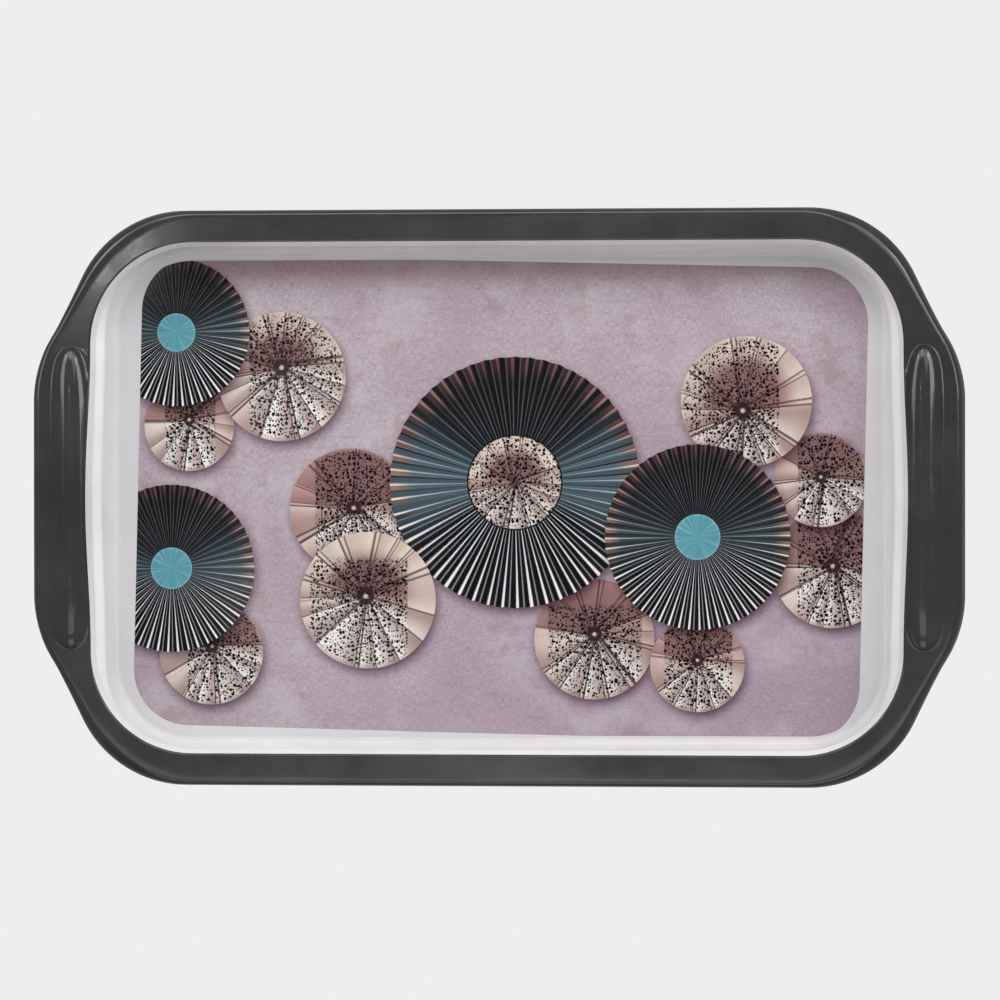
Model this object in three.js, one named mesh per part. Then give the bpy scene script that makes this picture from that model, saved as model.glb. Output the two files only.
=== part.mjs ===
// A two-tone melamine serving tray with two end handles and a printed floor.
//
// Units are millimetres, +Z is up, and the origin is the middle of the plane that the foot ring rests on.
// +X runs along the tray, from the middle towards one of the handles.
//
// The tray is three layers pressed together:
//   outer_shell    dark moulding: base, foot ring, outside wall, rim, skirt and both handles
//   inner_liner    white moulding inside it: floor and wall up to the rim's inner edge
//   printed_decal  thin printed and glazed sheet let into the liner's floor
//
// Every surface is a loft through vertical sections. Each section stands square to the opening edge, which is
// the line where the dark rim meets the white liner, and is drawn in two coordinates: the distance outwards
// from that edge, and the height.

import * as THREE from 'three';

// Overall sizes
const LENGTH = 400;
const WIDTH = 246.9;
const RIM_HEIGHT = 28;
const FLOOR_HEIGHT = 4.9;

// Layers
const GAP = 0.3;
const SHELL_THICKNESS = 1.5;
const LINER_THICKNESS = 1.5;
const RIM_THICKNESS = 3;
const EDGE_THICKNESS = 2.4;
const DECAL_THICKNESS = 0.3;

// Silhouette, seen from above: a body with round corners, and a handle at each end that flares out of it
const BODY_LENGTH = 366.9;
const CORNER_RADIUS = 49.6;
const CORNER_END_ANGLE = THREE.MathUtils.degToRad(25.3);
const HANDLE_FLAT = 82.7;
const HANDLE_RADIUS = 52;
const FLARE_ANGLE = THREE.MathUtils.degToRad(33);

// Opening edge and the flat floor inside it
const OPENING_LENGTH = 347.6;
const OPENING_WIDTH = 218.9;
const OPENING_RADIUS = 44;
const OPENING_BOW = 1.9;
const FLOOR_LENGTH = 326.3;
const FLOOR_WIDTH = 205.6;
const FLOOR_RADIUS = 30;
const FLOOR_FILLET = 2.5;

// End walls lean out more in their upper part than in their lower part
const FLARE_DEPTH = 3;
const FLARE_SHIFT = 2.6;

// Rim: a flat top that rolls over into the skirt, more slowly at the corners than elsewhere
const SKIRT_DROP = 8;
const HANDLE_DROP = 11;
const SHOULDER_SHARPNESS = 24;
const CORNER_SHARPNESS = 8;

// White lip: the liner's top edge, which falls steeply into the wall
const LIP_WIDTH = LINER_THICKNESS + GAP;
const LIP_FALL = 4;

// Grip ridge: a raised, hollow bead across each handle
const RIDGE_CENTRE = 182.1;
const RIDGE_HALF_WIDTH = 8.4;
const RIDGE_HALF_LENGTH = 64.8;
const RIDGE_RISE = 5;
const RIDGE_INNER_TAPER = 6;
const RIDGE_OUTER_TAPER = 10;
const RIDGE_END_TAPER = 8;
const RIDGE_OUTER_EDGE = 0.61;

// Foot ring under the base
const FOOT_HEIGHT = FLOOR_HEIGHT - LINER_THICKNESS - GAP - SHELL_THICKNESS;
const FOOT_INSET = 5;
const FOOT_WIDTH = 4.5;
const FOOT_DRAFT = 0.6;

// Printed sheet, which lies a little out of square. It is trimmed at the wall's foot
const DECAL_LENGTH = 313.8;
const DECAL_WIDTH = 203.4;
const DECAL_RADIUS = 24;
const DECAL_TURN = THREE.MathUtils.degToRad(-1.35);
const DECAL_MARGIN = 0.3;

// Steps of the lofts
const SIDE_STEPS = 4;
const CORNER_STEPS = 9;
const END_STEPS = 11;
const FILLET_STEPS = 3;
const LIP_STEPS = 3;
const RIDGE_ROWS = 7;
const EDGE_ROWS = 4;
const ARC_STEPS = 48;

// Slack for comparing numbers
const TINY = 1e-9;

const point = (x, y) => new THREE.Vector2(x, y);
const turned = (vector, angle) => vector.clone().rotateAround(point(0, 0), angle);

// ---------------------------------------------------------------- outlines seen from above

// Where the line through a along aDirection crosses the line through b along bDirection.
function crossing(a, aDirection, b, bDirection) {
  const between = b.clone().sub(a);
  const distance = between.cross(bDirection) / aDirection.cross(bDirection);
  return a.clone().addScaledVector(aDirection, distance);
}

// Copies one quarter of an outline, from the +Y axis to the +X axis, into the other three.
function mirrored(quarter) {
  const right = quarter.concat(quarter.slice(0, -1).reverse().map((p) => point(p.x, -p.y)));
  return right.concat(right.slice(1, -1).reverse().map((p) => point(-p.x, p.y)));
}

function roundedRectangle(length, width, radius) {
  const corner = point(length / 2 - radius, width / 2 - radius);
  const quarter = new THREE.Path();
  quarter.moveTo(0, width / 2);
  quarter.absarc(corner.x, corner.y, radius, Math.PI / 2, 0, true);
  quarter.lineTo(length / 2, 0);
  return mirrored(quarter.getPoints(ARC_STEPS));
}

// The lowest edge of the skirt and handles.
function silhouette() {
  const cornerCentre = point(BODY_LENGTH / 2 - CORNER_RADIUS, WIDTH / 2 - CORNER_RADIUS);
  const cornerEnd = cornerCentre.clone().add(turned(point(CORNER_RADIUS, 0), CORNER_END_ANGLE));
  const handleCentre = point(LENGTH / 2 - HANDLE_RADIUS, HANDLE_FLAT / 2);
  const flareStart = handleCentre.clone().add(turned(point(HANDLE_RADIUS, 0), FLARE_ANGLE));
  const hollow = crossing(
    cornerEnd,
    turned(point(0, 1), CORNER_END_ANGLE),
    flareStart,
    turned(point(0, 1), FLARE_ANGLE),
  );
  const quarter = new THREE.Path();
  quarter.moveTo(0, WIDTH / 2);
  quarter.absarc(cornerCentre.x, cornerCentre.y, CORNER_RADIUS, Math.PI / 2, CORNER_END_ANGLE, true);
  quarter.quadraticCurveTo(hollow.x, hollow.y, flareStart.x, flareStart.y);
  quarter.absarc(handleCentre.x, handleCentre.y, HANDLE_RADIUS, FLARE_ANGLE, 0, true);
  quarter.lineTo(LENGTH / 2, 0);
  return mirrored(quarter.getPoints(ARC_STEPS));
}

// Distance from start along direction to the first side of the outline that it meets.
function distanceTo(outline, start, direction) {
  let nearest = Infinity;
  outline.forEach((a, index) => {
    const b = outline[(index + 1) % outline.length];
    const side = b.clone().sub(a);
    const facing = direction.cross(side);
    if (Math.abs(facing) < TINY) return;
    const toSide = a.clone().sub(start);
    const distance = toSide.cross(side) / facing;
    const along = toSide.cross(direction) / facing;
    if (distance > 0 && along >= -TINY && along <= 1 + TINY) nearest = Math.min(nearest, distance);
  });
  return nearest;
}

// ---------------------------------------------------------------- stations round the opening edge

// One quarter of the opening edge, from the +Y axis to the +X axis. The ends bow out towards the handles.
function quarterStations() {
  const corner = point(OPENING_LENGTH / 2 - OPENING_RADIUS, OPENING_WIDTH / 2 - OPENING_RADIUS);
  const stations = [];
  for (let step = 0; step < SIDE_STEPS; step += 1) {
    stations.push({ at: point((corner.x * step) / SIDE_STEPS, OPENING_WIDTH / 2), out: point(0, 1) });
  }
  for (let step = 0; step < CORNER_STEPS; step += 1) {
    const out = turned(point(0, 1), (-Math.PI / 2) * (step / CORNER_STEPS));
    stations.push({ at: corner.clone().addScaledVector(out, OPENING_RADIUS), out });
  }
  for (let step = 0; step <= END_STEPS; step += 1) {
    const y = corner.y * Math.cos((Math.PI / 2) * (step / END_STEPS));
    const bow = OPENING_BOW * Math.cos((Math.PI / 2) * (y / corner.y)) ** 2;
    stations.push({ at: point(OPENING_LENGTH / 2 + bow, y), out: point(1, 0) });
  }
  return stations;
}

// All stations, anticlockwise seen from above, each with the distances that its section needs.
function makeStations() {
  const flip = (station, x, y) => ({
    at: point(station.at.x * x, station.at.y * y),
    out: point(station.out.x * x, station.out.y * y),
  });
  const quarter = quarterStations();
  const right = quarter.concat(quarter.slice(0, -1).reverse().map((station) => flip(station, 1, -1)));
  const clockwise = right.concat(right.slice(1, -1).reverse().map((station) => flip(station, -1, 1)));
  const stations = clockwise.reverse();

  const edge = silhouette();
  const floor = roundedRectangle(FLOOR_LENGTH, FLOOR_WIDTH, FLOOR_RADIUS);
  const square = roundedRectangle(DECAL_LENGTH, DECAL_WIDTH, DECAL_RADIUS);
  const sheet = square.map((p) => turned(p, DECAL_TURN));
  stations.forEach((station) => {
    const inwards = station.out.clone().negate();
    station.toEdge = distanceTo(edge, station.at, station.out);
    station.toFloor = distanceTo(floor, station.at, inwards);
    station.toPocket = Math.max(
      distanceTo(sheet, station.at, inwards) - GAP,
      station.toFloor + DECAL_MARGIN,
    );
    station.toDecal = station.toPocket + GAP;
  });
  return stations;
}

// ---------------------------------------------------------------- heights

// How far the grip ridge lifts the surface at x, y.
function ridgeLift(x, y) {
  const along = Math.abs(y) / RIDGE_HALF_LENGTH;
  const across = (Math.abs(x) - RIDGE_CENTRE) / RIDGE_HALF_WIDTH;
  if (along >= 1) return 0;
  const taper = across < 0 ? RIDGE_INNER_TAPER : RIDGE_OUTER_TAPER;
  const halfWidth = Math.sqrt(1 - along ** taper);
  const dome = Math.max(0, 1 - (across / halfWidth) ** 2);
  return RIDGE_RISE * dome * Math.sqrt(1 - along ** RIDGE_END_TAPER);
}

// How much of the handle's shape a station has, from 0 on the plain rim to 1 where the handle is widest.
function handleShare(station) {
  const plainWidth = (WIDTH - OPENING_WIDTH) / 2;
  const handleWidth = (LENGTH - OPENING_LENGTH) / 2 - OPENING_BOW;
  return THREE.MathUtils.clamp((station.toEdge - plainWidth) / (handleWidth - plainWidth), 0, 1);
}

// How late the rim's fall comes at a station: a high power keeps the top flat almost to the skirt.
function rimSharpness(station) {
  const cornerShare = Math.abs(2 * station.out.x * station.out.y);
  return SHOULDER_SHARPNESS * (CORNER_SHARPNESS / SHOULDER_SHARPNESS) ** cornerShare;
}

// How much of the end wall's shape a station has, from 0 on the long sides to 1 at the handles.
function endShare(station) {
  const sideRun = (OPENING_WIDTH - FLOOR_WIDTH) / 2;
  const endRun = (OPENING_LENGTH - FLOOR_LENGTH) / 2;
  return THREE.MathUtils.clamp((station.toFloor - sideRun) / (endRun - sideRun), 0, 1);
}

// ---------------------------------------------------------------- sections

// The surface of the rim from start outwards to end, one point more than its rows. It starts at height top
// and falls by drop.
function rimRows(station, start, end, top, drop) {
  const share = handleShare(station);
  const sharpness = rimSharpness(station);
  const count = RIDGE_ROWS + EDGE_ROWS;
  const rows = [];
  for (let row = 0; row <= count; row += 1) {
    const plain = 1 - (1 - row / count) ** 2;
    const onRidge = (RIDGE_OUTER_EDGE * row) / RIDGE_ROWS;
    const pastRidge = RIDGE_OUTER_EDGE + ((1 - RIDGE_OUTER_EDGE) * (row - RIDGE_ROWS)) / EDGE_ROWS;
    const fraction = THREE.MathUtils.lerp(plain, row < RIDGE_ROWS ? onRidge : pastRidge, share);
    rows.push(point(THREE.MathUtils.lerp(start, end, fraction), top - drop * fraction ** sharpness));
  }
  return rows;
}

// The liner's visible surface, from the top of its wall down to the edge of the flat floor.
function wallRows(station) {
  const top = point(-LIP_WIDTH, RIM_HEIGHT - LIP_FALL);
  const floorEdge = point(-station.toFloor, FLOOR_HEIGHT);
  const reach = Math.min(FLOOR_FILLET, (station.toFloor - LIP_WIDTH) / 2);
  const foot = point(floorEdge.x + reach, FLOOR_HEIGHT);
  const flare = top.clone().lerp(foot, FLARE_DEPTH / (top.y - foot.y));
  flare.x -= FLARE_SHIFT * endShare(station);
  const filletTop = foot.clone().addScaledVector(flare.clone().sub(foot).normalize(), reach);
  const fillet = new THREE.QuadraticBezierCurve(filletTop, foot, floorEdge);
  return [top, flare, ...fillet.getPoints(FILLET_STEPS)];
}

// Moves a run of section points outwards and down by a thickness, square to the surface.
function thickened(rows, thickness) {
  const normal = (from, to) => {
    const along = to.clone().sub(from).normalize();
    return point(-along.y, along.x);
  };
  return rows.map((row, index) => {
    const before = index > 0 ? normal(rows[index - 1], row) : normal(row, rows[index + 1]);
    const after = index < rows.length - 1 ? normal(row, rows[index + 1]) : point(0, -1);
    const mitre = before.clone().add(after).divideScalar(1 + before.dot(after));
    return row.clone().addScaledVector(mitre, thickness);
  });
}

function shellSection(station) {
  const drop = THREE.MathUtils.lerp(SKIRT_DROP, HANDLE_DROP, handleShare(station));
  const wall = wallRows(station);
  const inside = thickened(wall, LINER_THICKNESS + GAP).slice(1);
  const outside = thickened(wall, LINER_THICKNESS + GAP + SHELL_THICKNESS);
  const rimTop = rimRows(station, 0, station.toEdge, RIM_HEIGHT, drop);

  // The rim's underside starts on the wall's outside face, straight below the rim.
  const underTop = RIM_HEIGHT - RIM_THICKNESS;
  const slope = (outside[0].x - outside[1].x) / (outside[0].y - outside[1].y);
  const underStart = outside[0].x + slope * (underTop - outside[0].y);
  const underEnd = station.toEdge - EDGE_THICKNESS;
  const rimUnder = rimRows(station, underStart, underEnd, underTop, drop - RIM_THICKNESS);

  const footOuter = -station.toFloor - FOOT_INSET;
  const footInner = footOuter - FOOT_WIDTH;
  const foot = [
    point(footOuter + FOOT_DRAFT, FOOT_HEIGHT),
    point(footOuter, 0),
    point(footInner, 0),
    point(footInner - FOOT_DRAFT, FOOT_HEIGHT),
  ];
  return [...inside.reverse(), ...rimTop, ...rimUnder.reverse(), ...outside.slice(1), ...foot];
}

function linerSection(station) {
  const wall = wallRows(station);
  const back = thickened(wall, LINER_THICKNESS).slice(1);
  const lipBase = RIM_HEIGHT - LIP_FALL;
  const lip = new THREE.EllipseCurve(-GAP, lipBase, LINER_THICKNESS, LIP_FALL, Math.PI, Math.PI / 2, true);
  const pocketDepth = DECAL_THICKNESS + GAP;
  const pocket = [
    point(-station.toPocket, FLOOR_HEIGHT - pocketDepth),
    point(-station.toPocket, FLOOR_HEIGHT),
  ];
  return [...pocket, ...wall.reverse(), ...lip.getPoints(LIP_STEPS).slice(1), ...back];
}

function decalSection(station) {
  return [
    point(-station.toDecal, FLOOR_HEIGHT),
    point(-station.toDecal, FLOOR_HEIGHT - DECAL_THICKNESS),
  ];
}

// ---------------------------------------------------------------- lofts

// Two triangles for a four-cornered face, split along its shorter diagonal so that neighbouring layers match.
function splitQuad(positions, [a, b, c, d]) {
  const vertex = (index) => new THREE.Vector3().fromArray(positions, index * 3);
  const splitsAtA = vertex(a).distanceTo(vertex(c)) <= vertex(b).distanceTo(vertex(d));
  return splitsAtA ? [a, b, c, a, c, d] : [a, b, d, b, c, d];
}

// A closed body through one section per station. Each section starts on the body's upper side, goes outwards
// over it and comes back underneath, and the loft is closed by a point in the middle at each end.
function loft(stations, makeSection) {
  const sections = stations.map(makeSection);
  const rows = sections[0].length;
  const positions = [];
  for (let row = 0; row < rows; row += 1) {
    stations.forEach(({ at, out }, index) => {
      const { x: distance, y: height } = sections[index][row];
      const place = at.clone().addScaledVector(out, distance);
      positions.push(place.x, place.y, height + ridgeLift(place.x, place.y));
    });
  }
  positions.push(0, 0, sections[0][0].y);
  positions.push(0, 0, sections[0][rows - 1].y);

  const count = stations.length;
  const upperMiddle = rows * count;
  const lowerMiddle = upperMiddle + 1;
  const lastRow = (rows - 1) * count;
  const indices = [];
  for (let here = 0; here < count; here += 1) {
    const next = (here + 1) % count;
    indices.push(upperMiddle, here, next);
    for (let row = 0; row < rows - 1; row += 1) {
      const inner = row * count;
      const outer = inner + count;
      indices.push(...splitQuad(positions, [inner + here, outer + here, outer + next, inner + next]));
    }
    indices.push(lastRow + here, lowerMiddle, lastRow + next);
  }
  const geometry = new THREE.BufferGeometry();
  geometry.setAttribute('position', new THREE.Float32BufferAttribute(positions, 3));
  geometry.setIndex(indices);
  geometry.computeVertexNormals();
  return geometry;
}

function piece(name, geometry, color, roughness) {
  const material = new THREE.MeshStandardMaterial({ color, roughness, metalness: 0 });
  const mesh = new THREE.Mesh(geometry, material);
  mesh.name = name;
  return mesh;
}

// ---------------------------------------------------------------- the tray

const stations = makeStations();

const tray = new THREE.Group();
tray.add(
  piece('outer_shell', loft(stations, shellSection), 0x47474a, 0.3),
  piece('inner_liner', loft(stations, linerSection), 0xebe9ec, 0.3),
  piece('printed_decal', loft(stations, decalSection), 0xa9979f, 0.25),
);

export default tray;
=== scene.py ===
"""The looks of a two-tone melamine serving tray with a printed floor.

The CAD model fixes where its three layers lie. This script lofts the same layers again with fine steps and
rounded edges, prints the floor sheet with pleated paper fans, and gives every layer its material.

Lengths are in metres and the frame is the CAD model's: +Z up, the foot ring resting at z = 0, +X towards one
handle. Points seen from above are complex numbers, x + iy.
"""
import cmath
import math
from dataclasses import dataclass

import bpy
import numpy as np
from mathutils import Matrix, Vector, geometry


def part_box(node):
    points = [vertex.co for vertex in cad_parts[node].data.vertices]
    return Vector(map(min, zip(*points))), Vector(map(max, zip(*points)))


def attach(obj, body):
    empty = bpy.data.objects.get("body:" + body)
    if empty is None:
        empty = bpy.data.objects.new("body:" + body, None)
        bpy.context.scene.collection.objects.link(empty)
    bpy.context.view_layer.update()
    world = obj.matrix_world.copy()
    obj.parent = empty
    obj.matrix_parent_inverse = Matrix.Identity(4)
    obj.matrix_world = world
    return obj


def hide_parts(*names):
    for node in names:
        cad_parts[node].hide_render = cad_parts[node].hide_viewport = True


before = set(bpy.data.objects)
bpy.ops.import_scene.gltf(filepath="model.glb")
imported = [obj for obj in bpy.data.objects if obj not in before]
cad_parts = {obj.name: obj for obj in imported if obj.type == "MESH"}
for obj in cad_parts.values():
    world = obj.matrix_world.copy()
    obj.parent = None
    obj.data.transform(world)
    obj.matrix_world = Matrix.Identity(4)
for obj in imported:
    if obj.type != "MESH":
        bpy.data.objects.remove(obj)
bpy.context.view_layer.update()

MM = 0.001
SHELL_LOW, SHELL_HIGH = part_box("outer_shell")
DECAL_LOW, DECAL_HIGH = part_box("printed_decal")

# ---------------------------------------------------------------- sizes of the moulded layers

LENGTH = SHELL_HIGH.x - SHELL_LOW.x
WIDTH = SHELL_HIGH.y - SHELL_LOW.y
RIM_HEIGHT = 28 * MM
FLOOR_HEIGHT = DECAL_HIGH.z
DECAL_THICKNESS = DECAL_HIGH.z - DECAL_LOW.z

SEAM = 0.05 * MM
SHELL_THICKNESS = 1.5 * MM
LINER_THICKNESS = 1.5 * MM
CAD_GAP = 0.3 * MM
RIM_THICKNESS = 3 * MM
EDGE_THICKNESS = 2.4 * MM

# Silhouette: a body with round corners, and a handle at each end that flares out of it
BODY_LENGTH = 366.9 * MM
CORNER_RADIUS = 49.6 * MM
CORNER_END_ANGLE = math.radians(25.3)
HANDLE_FLAT = 82.7 * MM
HANDLE_RADIUS = 52 * MM
FLARE_ANGLE = math.radians(33)

# Opening edge, where the dark rim meets the white liner, and the flat floor inside it
OPENING_LENGTH = 347.6 * MM
OPENING_WIDTH = 218.9 * MM
OPENING_RADIUS = 44 * MM
OPENING_BOW = 1.9 * MM
FLOOR_LENGTH = 326.3 * MM
FLOOR_WIDTH = 205.6 * MM
FLOOR_RADIUS = 30 * MM
FLOOR_FILLET = 2.5 * MM

# The end walls lean out more in their upper part
FLARE_DEPTH = 3 * MM
FLARE_SHIFT = 2.6 * MM
FLARE_FILLET = 1.2 * MM

# The rim's flat top rolls over into the skirt, more slowly at the corners than elsewhere
SKIRT_DROP = 8 * MM
HANDLE_DROP = 11 * MM
SHOULDER_SHARPNESS = 24
CORNER_SHARPNESS = 8
RIM_INNER_ROUND = 0.5 * MM
SKIRT_EDGE_ROUND = 1.0 * MM

# The liner's top edge, which falls steeply into its wall
LIP_WIDTH = LINER_THICKNESS + CAD_GAP
LIP_FALL = 4 * MM
LIP_ROUND = 0.5 * MM

# Grip ridge: a raised, hollow bead across each handle
RIDGE_CENTRE = 182.1 * MM
RIDGE_HALF_WIDTH = 8.4 * MM
RIDGE_HALF_LENGTH = 64.8 * MM
RIDGE_RISE = 5 * MM
RIDGE_INNER_TAPER = 6
RIDGE_OUTER_TAPER = 10
RIDGE_END_TAPER = 8
RIDGE_CREASE = 0.2

# Foot ring under the base
FOOT_INSET = 5 * MM
FOOT_WIDTH = 4.5 * MM
FOOT_DRAFT = 0.6 * MM
FOOT_ROUND = 0.7 * MM

# The printed sheet lies a little out of square, and is trimmed at the wall's foot
DECAL_LENGTH = 313.8 * MM
DECAL_WIDTH = 203.4 * MM
DECAL_RADIUS = 24 * MM
DECAL_TURN = math.radians(-1.35)
DECAL_MARGIN = 0.3 * MM

# Steps of the lofts
SIDE_STEPS = 10
CORNER_STEPS = 30
END_STEPS = 64
RIM_ROWS = 66
UNDER_ROWS = 30
WALL_ROWS = 10
ROUND_ROWS = 6
ARC_STEPS = 60
RIM_SAMPLES = 200

# Rounding errors that don't count: in a cross product of directions, and past the ends of a line
PARALLEL_SLACK = 1e-12
END_SLACK = 1e-9


# ---------------------------------------------------------------- outlines seen from above

def cross(a, b):
    return (a.conjugate() * b).imag


def crossing(a, a_direction, b, b_direction):
    """Where the line through a along a_direction meets the line through b along b_direction."""
    return a + a_direction * cross(b - a, b_direction) / cross(a_direction, b_direction)


def arc(centre, radius, start, end, steps=ARC_STEPS):
    return centre + radius * np.exp(1j * np.linspace(start, end, steps + 1))


def bezier(a, b, c, steps):
    """Quadratic curve from a to c, with b as its control point."""
    t = np.linspace(0, 1, steps + 1)
    return a * (1 - t) ** 2 + 2 * b * t * (1 - t) + c * t**2


def mirrored(quarter):
    """A whole outline from its quarter between the +Y axis and the +X axis, clockwise."""
    right = np.concatenate([quarter, quarter[-2::-1].conjugate()])
    return np.concatenate([right, -right[-2:0:-1].conjugate()])


def rounded_rectangle(length, width, radius):
    corner = complex(length / 2 - radius, width / 2 - radius)
    quarter = [[1j * width / 2], arc(corner, radius, math.pi / 2, 0), [length / 2 + 0j]]
    return mirrored(np.concatenate(quarter))


def silhouette():
    """The lowest edge of the skirt and the handles."""
    corner = complex(BODY_LENGTH / 2 - CORNER_RADIUS, WIDTH / 2 - CORNER_RADIUS)
    corner_end = corner + cmath.rect(CORNER_RADIUS, CORNER_END_ANGLE)
    handle = complex(LENGTH / 2 - HANDLE_RADIUS, HANDLE_FLAT / 2)
    flare_start = handle + cmath.rect(HANDLE_RADIUS, FLARE_ANGLE)
    hollow = crossing(
        corner_end, cmath.rect(1, CORNER_END_ANGLE) * 1j,
        flare_start, cmath.rect(1, FLARE_ANGLE) * 1j,
    )
    quarter = [
        [1j * WIDTH / 2],
        arc(corner, CORNER_RADIUS, math.pi / 2, CORNER_END_ANGLE),
        bezier(corner_end, hollow, flare_start, ARC_STEPS)[1:-1],
        arc(handle, HANDLE_RADIUS, FLARE_ANGLE, 0),
        [LENGTH / 2 + 0j],
    ]
    return mirrored(np.concatenate(quarter))


def distance_to(outline, start, direction):
    """How far the outline is from start, looking along direction."""
    side = np.roll(outline, -1) - outline
    facing = cross(direction, side)
    facing = np.where(np.abs(facing) < PARALLEL_SLACK, np.nan, facing)
    to_side = outline - start
    distance = cross(to_side, side) / facing
    along = cross(to_side, direction) / facing
    hit = (distance > 0) & (along >= -END_SLACK) & (along <= 1 + END_SLACK)
    return distance[hit].min()


# ---------------------------------------------------------------- stations round the opening edge

@dataclass
class Station:
    """A place on the opening edge where a vertical section of the tray is drawn.

    out points outwards, square to the edge. Along it lie the silhouette, and the other way the floor and the
    printed sheet.
    """
    at: complex
    out: complex
    to_edge: float = 0
    to_floor: float = 0
    to_decal: float = 0

    def place(self, distance):
        return self.at + self.out * distance

    @property
    def handle_share(self):
        """From 0 on the plain rim to 1 where the handle is widest."""
        plain = (WIDTH - OPENING_WIDTH) / 2
        widest = (LENGTH - OPENING_LENGTH) / 2 - OPENING_BOW
        return min(max((self.to_edge - plain) / (widest - plain), 0), 1)

    @property
    def rim_sharpness(self):
        """How late the rim's fall comes: a high power keeps the top flat almost to the skirt."""
        corner_share = abs(2 * self.out.real * self.out.imag)
        return SHOULDER_SHARPNESS * (CORNER_SHARPNESS / SHOULDER_SHARPNESS) ** corner_share

    @property
    def end_share(self):
        """From 0 on the long sides to 1 at the handles."""
        side = (OPENING_WIDTH - FLOOR_WIDTH) / 2
        end = (OPENING_LENGTH - FLOOR_LENGTH) / 2
        return min(max((self.to_floor - side) / (end - side), 0), 1)


def quarter_stations():
    """From the +Y axis to the +X axis. The ends of the opening bow out towards the handles."""
    corner = complex(OPENING_LENGTH / 2 - OPENING_RADIUS, OPENING_WIDTH / 2 - OPENING_RADIUS)
    for step in range(SIDE_STEPS):
        yield Station(complex(corner.real * step / SIDE_STEPS, OPENING_WIDTH / 2), 1j)
    for step in range(CORNER_STEPS):
        out = 1j * cmath.exp(-0.5j * math.pi * step / CORNER_STEPS)
        yield Station(corner + out * OPENING_RADIUS, out)
    for step in range(END_STEPS + 1):
        y = corner.imag * math.cos(0.5 * math.pi * step / END_STEPS)
        bow = OPENING_BOW * math.cos(0.5 * math.pi * y / corner.imag) ** 2
        yield Station(complex(OPENING_LENGTH / 2 + bow, y), 1 + 0j)


def make_stations():
    """All stations, anticlockwise seen from above."""
    quarter = list(quarter_stations())
    places = mirrored(np.array([station.at for station in quarter]))
    normals = mirrored(np.array([station.out for station in quarter]))
    stations = [Station(at, out) for at, out in zip(places[::-1], normals[::-1])]
    edge = silhouette()
    floor = rounded_rectangle(FLOOR_LENGTH, FLOOR_WIDTH, FLOOR_RADIUS)
    sheet = rounded_rectangle(DECAL_LENGTH, DECAL_WIDTH, DECAL_RADIUS)
    sheet = sheet * cmath.exp(1j * DECAL_TURN)
    for station in stations:
        station.to_edge = distance_to(edge, station.at, station.out)
        station.to_floor = distance_to(floor, station.at, -station.out)
        to_sheet = distance_to(sheet, station.at, -station.out)
        station.to_decal = max(to_sheet, station.to_floor + DECAL_MARGIN)
    return stations


# ---------------------------------------------------------------- sections
# A section is a list of complex numbers too: the distance outwards from the opening edge, and i times the
# height above the table.

def ridge_lift(place):
    """How far the grip ridge lifts the surface."""
    along = abs(place.imag) / RIDGE_HALF_LENGTH
    if along >= 1:
        return 0.0
    across = (abs(place.real) - RIDGE_CENTRE) / RIDGE_HALF_WIDTH
    taper = RIDGE_INNER_TAPER if across < 0 else RIDGE_OUTER_TAPER
    half_width = math.sqrt(1 - along**taper)
    parabola = 1 - (across / half_width) ** 2
    # The greater of the parabola and zero, with a soft crease between them
    dome = 0.5 * (parabola + math.sqrt(parabola**2 + RIDGE_CREASE**2))
    return RIDGE_RISE * dome * math.sqrt(1 - along**RIDGE_END_TAPER)


def evenly(curve, count):
    """The same curve through count + 1 points, evenly spaced along it."""
    curve = np.asarray(curve)
    run = np.concatenate([[0], np.cumsum(np.abs(np.diff(curve)))])
    at = np.linspace(0, run[-1], count + 1)
    return np.interp(at, run, curve.real) + 1j * np.interp(at, run, curve.imag)


def rounded(before, corner, after, reach, steps=ROUND_ROWS):
    """A corner between two neighbours, rounded off over reach on both sides."""
    start = corner + (before - corner) / abs(before - corner) * reach
    end = corner + (after - corner) / abs(after - corner) * reach
    return bezier(start, corner, end, steps)


def rim_curve(sharpness, start, end, top, drop):
    """The rim's surface from start outwards to end, falling by drop from height top."""
    fraction = 1 - (1 - np.linspace(0, 1, RIM_SAMPLES)) ** 2
    return start + (end - start) * fraction + 1j * (top - drop * fraction**sharpness)


def wall_curve(station):
    """The liner's visible surface, from the top of its wall down to the edge of the flat floor."""
    top = complex(-LIP_WIDTH, RIM_HEIGHT - LIP_FALL)
    floor_edge = complex(-station.to_floor, FLOOR_HEIGHT)
    reach = min(FLOOR_FILLET, (station.to_floor - LIP_WIDTH) / 2)
    foot = floor_edge + reach
    flare = top + (foot - top) * FLARE_DEPTH / (top - foot).imag - FLARE_SHIFT * station.end_share
    bend = rounded(top, flare, foot, FLARE_FILLET)
    fillet = rounded(flare, foot, floor_edge, reach)
    upper = evenly([top, bend[0]], WALL_ROWS)[:-1]
    lower = evenly([bend[-1], fillet[0]], WALL_ROWS)[1:-1]
    return np.concatenate([upper, bend, lower, fillet])


def thickened(curve, thickness):
    """A wall curve moved outwards and down by a thickness, square to itself. It ends on the flat floor."""
    along = np.diff(curve)
    normal = 1j * along / np.abs(along)
    before = np.concatenate([normal[:1], normal])
    after = np.concatenate([normal, [-1j]])
    mitre = (before + after) / (1 + (before.conjugate() * after).real)
    return curve + mitre * thickness


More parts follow.
